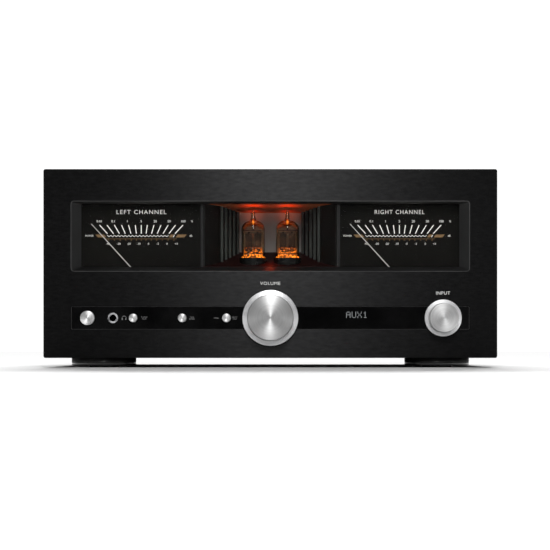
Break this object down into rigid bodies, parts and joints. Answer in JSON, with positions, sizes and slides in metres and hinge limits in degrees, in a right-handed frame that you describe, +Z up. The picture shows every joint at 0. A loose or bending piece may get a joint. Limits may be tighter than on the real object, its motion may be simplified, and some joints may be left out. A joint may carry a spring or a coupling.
{
  "type": "integrated amplifier",
  "caption": "Full-width integrated amplifier: brushed black front, window with needle meters and a lit tube bay, silver knobs and buttons, closed vented case, rear sockets.",
  "frame": {"origin": "on the floor plane, under the middle of the bounding box", "axes": "+X to the right seen from the front, -Y towards the front panel's face, +Z up"},
  "size_m": [0.43, 0.41, 0.188],
  "materials": {
    "black_anodised": "brushed black anodised",
    "bezel_black": "satin black anodised",
    "clear_glass": "clear, polished",
    "gloss_black": "gloss black acrylic",
    "circuit_board": "green solder resist",
    "black_component": "moulded black",
    "plated_steel": "zinc plated",
    "silver_aluminium": "turned and satin anodised",
    "jack_chrome": "polished",
    "dial_black": "matt black print",
    "needle_white": "light grey paint",
    "bay_grey": "satin grey",
    "tube_glass": "clear bulb",
    "electrode_metal": "carbonised nickel",
    "case_steel": "fine textured black powder coat",
    "foot_gloss": "gloss black",
    "pad_rubber": "matt",
    "black_screw": "black oxide",
    "winding_wrap": "amber film wrap",
    "capacitor_sleeve": "shrink sleeve",
    "sink_black": "black anodised",
    "plated_brass": "gold plated",
    "socket_black": "moulded black",
    "grip_red": "translucent red",
    "grip_black": "black"
  },
  "bodies": {
    "chassis": {"front_panel": "black_anodised", "window_bezel": "bezel_black", "window_glass": "clear_glass", "control_strip": "gloss_black", "display_module": "black_component", "control_board": "circuit_board", "button_switches": "black_component", "encoders": "plated_steel", "headphone_jack": "jack_chrome", "meter_housings": "black_component", "left_meter_dial": "dial_black", "right_meter_dial": "dial_black", "meter_movements": "plated_steel", "tube_bay": "bay_grey", "left_tube_glass": "tube_glass", "right_tube_glass": "tube_glass", "tube_electrodes": "electrode_metal", "tube_sockets": "black_component", "tube_board": "circuit_board", "chassis_base": "case_steel", "left_side_panel": "case_steel", "right_side_panel": "case_steel", "top_cover": "case_steel", "rear_panel": "case_steel", "feet": "foot_gloss", "foot_pads": "pad_rubber", "screws": "black_screw", "toroid_transformer": "winding_wrap", "transformer_clamp": "plated_steel", "power_supply_board": "circuit_board", "filter_capacitors": "capacitor_sleeve", "left_heat_sink": "sink_black", "right_heat_sink": "sink_black", "output_transistors": "black_component", "amplifier_boards": "circuit_board", "input_board": "circuit_board", "rca_sockets": "plated_brass", "xlr_sockets": "socket_black", "digital_sockets": "socket_black", "power_inlet": "socket_black", "speaker_studs": "plated_brass"},
    "volume_control": {"volume_knob": "silver_aluminium", "volume_shaft": "plated_steel"},
    "input_control": {"input_knob": "silver_aluminium", "input_shaft": "plated_steel"},
    "power_key": {"power_button": "silver_aluminium"},
    "headphone_key": {"headphone_button": "silver_aluminium"},
    "tone_key": {"tone_button": "silver_aluminium"},
    "menu_key": {"menu_button": "silver_aluminium"},
    "left_pointer": {"left_meter_needle": "needle_white"},
    "right_pointer": {"right_meter_needle": "needle_white"},
    "rocker": {"mains_rocker": "gloss_black"},
    "post_1_clamp": {"post_1_nut": "plated_brass"},
    "post_1_cap": {"post_1_grip": "grip_red"},
    "post_2_clamp": {"post_2_nut": "plated_brass"},
    "post_2_cap": {"post_2_grip": "grip_black"},
    "post_3_clamp": {"post_3_nut": "plated_brass"},
    "post_3_cap": {"post_3_grip": "grip_red"},
    "post_4_clamp": {"post_4_nut": "plated_brass"},
    "post_4_cap": {"post_4_grip": "grip_black"}
  },
  "joints": [
    {"name": "volume_turn", "type": "hinge", "parent": "chassis", "child": "volume_control", "pos_m": [0, -0.19, 0.0469], "axis": [0, 1, 0], "continuous": true},
    {"name": "input_turn", "type": "hinge", "parent": "chassis", "child": "input_control", "pos_m": [0.1635, -0.19, 0.0469], "axis": [0, 1, 0], "continuous": true},
    {"name": "power_press", "type": "slide", "parent": "chassis", "child": "power_key", "axis": [0, 1, 0], "range_m": [0, 0.002], "stiffness_N_per_m": 600, "springref_m": -0.0005},
    {"name": "headphone_press", "type": "slide", "parent": "chassis", "child": "headphone_key", "axis": [0, 1, 0], "range_m": [0, 0.001], "stiffness_N_per_m": 600, "springref_m": -0.0005},
    {"name": "tone_press", "type": "slide", "parent": "chassis", "child": "tone_key", "axis": [0, 1, 0], "range_m": [0, 0.001], "stiffness_N_per_m": 600, "springref_m": -0.0005},
    {"name": "menu_press", "type": "slide", "parent": "chassis", "child": "menu_key", "axis": [0, 1, 0], "range_m": [0, 0.001], "stiffness_N_per_m": 600, "springref_m": -0.0005},
    {"name": "left_needle_swing", "type": "hinge", "parent": "chassis", "child": "left_pointer", "pos_m": [-0.1234, -0.1716, 0.0848], "axis": [0, 1, 0], "range_deg": [0, 82], "stiffness_Nm_per_rad": 0.0002, "springref_deg": -17.19},
    {"name": "right_needle_swing", "type": "hinge", "parent": "chassis", "child": "right_pointer", "pos_m": [0.1234, -0.1716, 0.0848], "axis": [0, 1, 0], "range_deg": [0, 82], "stiffness_Nm_per_rad": 0.0002, "springref_deg": -17.19},
    {"name": "mains_rock", "type": "hinge", "parent": "chassis", "child": "rocker", "pos_m": [0.182, 0.173, 0.077], "axis": [1, 0, 0], "range_deg": [0, 18]},
    {"name": "post_1_travel", "type": "slide", "parent": "chassis", "child": "post_1_clamp", "axis": [0, 1, 0], "range_m": [0, 0.004]},
    {"name": "post_1_unscrew", "type": "hinge", "parent": "post_1_clamp", "child": "post_1_cap", "pos_m": [-0.168, 0.19, 0.048], "axis": [0, 1, 0], "range_deg": [0, 1441]},
    {"name": "post_2_travel", "type": "slide", "parent": "chassis", "child": "post_2_clamp", "axis": [0, 1, 0], "range_m": [0, 0.004]},
    {"name": "post_2_unscrew", "type": "hinge", "parent": "post_2_clamp", "child": "post_2_cap", "pos_m": [-0.14, 0.19, 0.048], "axis": [0, 1, 0], "range_deg": [0, 1441]},
    {"name": "post_3_travel", "type": "slide", "parent": "chassis", "child": "post_3_clamp", "axis": [0, 1, 0], "range_m": [0, 0.004]},
    {"name": "post_3_unscrew", "type": "hinge", "parent": "post_3_clamp", "child": "post_3_cap", "pos_m": [0.1, 0.19, 0.048], "axis": [0, 1, 0], "range_deg": [0, 1441]},
    {"name": "post_4_travel", "type": "slide", "parent": "chassis", "child": "post_4_clamp", "axis": [0, 1, 0], "range_m": [0, 0.004]},
    {"name": "post_4_unscrew", "type": "hinge", "parent": "post_4_clamp", "child": "post_4_cap", "pos_m": [0.128, 0.19, 0.048], "axis": [0, 1, 0], "range_deg": [0, 1441]}
  ],
  "couplings": [
    {"joint": "post_1_unscrew", "follows": "post_1_travel", "rad_per_m": 6283.2},
    {"joint": "post_2_unscrew", "follows": "post_2_travel", "rad_per_m": 6283.2},
    {"joint": "post_3_unscrew", "follows": "post_3_travel", "rad_per_m": 6283.2},
    {"joint": "post_4_unscrew", "follows": "post_4_travel", "rad_per_m": 6283.2}
  ]
}
